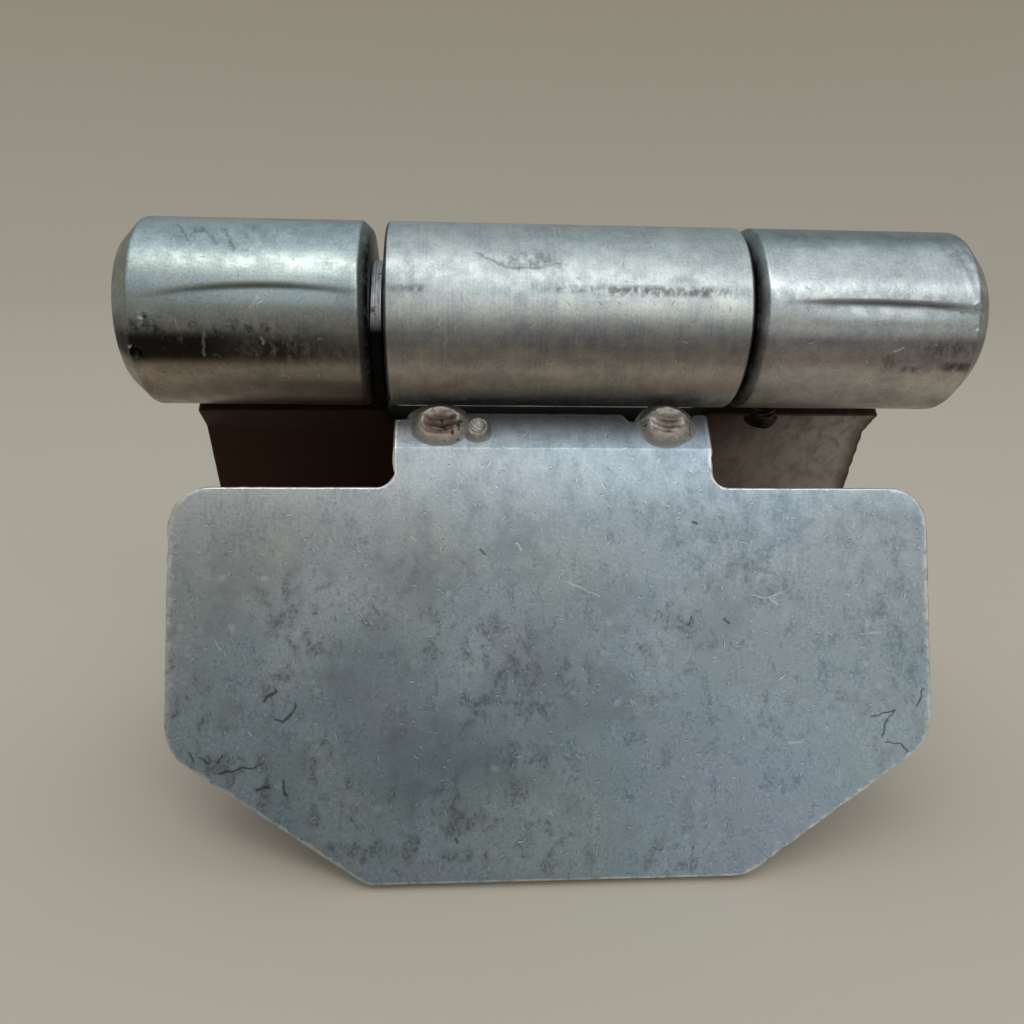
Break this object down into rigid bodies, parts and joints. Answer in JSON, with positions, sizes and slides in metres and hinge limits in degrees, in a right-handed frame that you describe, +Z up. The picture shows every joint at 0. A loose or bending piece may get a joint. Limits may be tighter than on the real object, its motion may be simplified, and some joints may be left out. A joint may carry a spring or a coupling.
{
  "type": "butterfly hinge",
  "caption": "Weld-on butterfly hinge: plate leaves with cut lower corners, tack-welded under a closed knuckle barrel.",
  "frame": {"origin": "middle of the footprint of the standing hinge, on the surface it stands on", "axes": "+X along the pin, to the right seen from the front leaf; +Z up; the front leaf leans towards -Y"},
  "size_m": [0.115, 0.0624, 0.0838],
  "materials": {
    "leaf_plate": "zinc plated, mottled and scratched",
    "knuckle_steel": "zinc plated over turned steel",
    "weld_metal": "rippled weld metal with heat tint",
    "pin_steel": "ground and greased",
    "washer_steel": "bright, greased"
  },
  "bodies": {
    "rear": {"rear_leaf": "leaf_plate", "left_knuckle": "knuckle_steel", "right_knuckle": "knuckle_steel", "rear_weld_left": "weld_metal", "rear_weld_right": "weld_metal", "rear_weld_inner": "weld_metal", "hinge_pin": "pin_steel", "left_washer": "washer_steel"},
    "front": {"front_leaf": "leaf_plate", "middle_knuckle": "knuckle_steel", "front_weld_left": "weld_metal", "front_weld_right": "weld_metal"}
  },
  "joints": [
    {"name": "leaf_swing", "type": "hinge", "parent": "rear", "child": "front", "pos_m": [0, 0, 0.07131], "axis": [-1, 0, 0], "range_deg": [-39, 289]}
  ]
}
